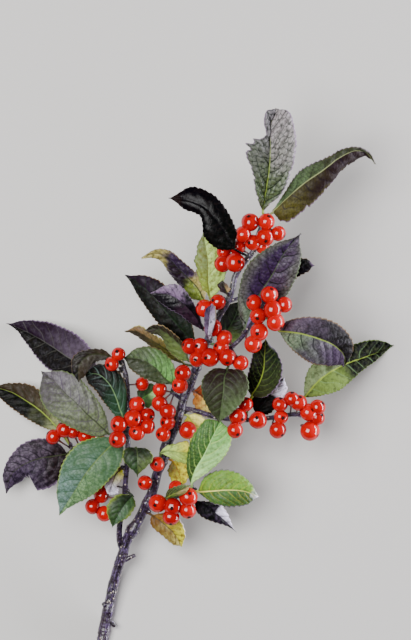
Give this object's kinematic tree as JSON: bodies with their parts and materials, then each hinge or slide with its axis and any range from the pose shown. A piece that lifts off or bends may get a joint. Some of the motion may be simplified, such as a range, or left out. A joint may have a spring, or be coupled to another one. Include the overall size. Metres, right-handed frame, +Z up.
{
  "type": "winterberry branch",
  "caption": "Cut fruiting branch of winterberry holly lying on its back: a woody stem with side twigs, toothed leaves and bunches of round red berries.",
  "frame": {"origin": "middle of the branch's footprint, on the surface it lies on", "axes": "+Y from the cut end of the stem towards the tip, +Z up, towards the side that shows the berries"},
  "size_m": [0.1838, 0.2444, 0.0589],
  "materials": {
    "bark": "satin dark purple-brown bark with pale dots",
    "berry_red": "glossy scarlet fruit skin",
    "leaf_green": "waxy green blade with a pale midrib and sunken net veins",
    "leaf_dark": "waxy dark green blade, sunken net veins",
    "leaf_pale": "waxy pale yellow-green blade",
    "leaf_olive": "waxy olive-yellow blade",
    "leaf_greyed": "waxy grey-green blade with a lavender sheen",
    "leaf_violet": "waxy dark violet blade, green at the base",
    "leaf_bronze": "waxy bronze-green blade",
    "leaf_black": "glossy near-black blade",
    "leaf_golden": "waxy golden-yellow blade, browned in places"
  },
  "bodies": {
    "root": {"stem": "bark", "leaf_crown": "leaf_greyed", "leaf_upper_right": "leaf_bronze", "leaf_black_upper": "leaf_black", "leaf_pale_upper": "leaf_pale", "leaf_twisted": "leaf_olive", "leaf_dark_left": "leaf_dark", "leaf_violet_left": "leaf_violet", "leaf_arc": "leaf_green", "leaf_thin": "leaf_olive", "leaf_oval_left": "leaf_green", "leaf_purple_far_left": "leaf_violet", "leaf_drooping": "leaf_bronze", "leaf_black_left": "leaf_black", "leaf_broad_left": "leaf_greyed", "leaf_long_left": "leaf_violet", "leaf_torn": "leaf_violet", "leaf_green_left": "leaf_green", "leaf_heart_small": "leaf_dark", "leaf_small_low": "leaf_green", "leaf_shrivelled": "leaf_olive", "leaf_yellow": "leaf_golden", "leaf_lime": "leaf_pale", "leaf_cream": "leaf_pale", "leaf_two_tone": "leaf_green", "leaf_heart_centre": "leaf_bronze", "leaf_oval_low": "leaf_green", "leaf_black_low": "leaf_black", "leaf_golden": "leaf_golden", "leaf_strip_low": "leaf_green", "leaf_black_centre": "leaf_black", "leaf_dark_centre": "leaf_dark", "leaf_violet_centre": "leaf_violet", "leaf_black_behind": "leaf_black", "leaf_right_upper": "leaf_violet", "leaf_right_lower": "leaf_bronze", "leaf_back_centre": "leaf_dark", "leaf_olive_small": "leaf_olive", "leaf_edge_centre": "leaf_violet", "leaf_back_left": "leaf_green", "leaf_dried": "leaf_golden", "berries_crown": "berry_red", "berries_upper": "berry_red", "berries_mid_upper": "berry_red", "berries_middle": "berry_red", "berries_pair": "berry_red", "berries_right_upper": "berry_red", "berries_centre_low": "berry_red", "berry_centre_right": "berry_red", "berries_right": "berry_red", "berries_left_inner": "berry_red", "berries_left": "berry_red", "berries_far_left": "berry_red", "berries_left_top": "berry_red", "berry_behind_oval": "berry_red", "berries_low_left": "berry_red", "berry_stem_upper": "berry_red", "berry_stem_lower": "berry_red", "berries_low": "berry_red", "berry_cream": "berry_red"}
  },
  "joints": []
}
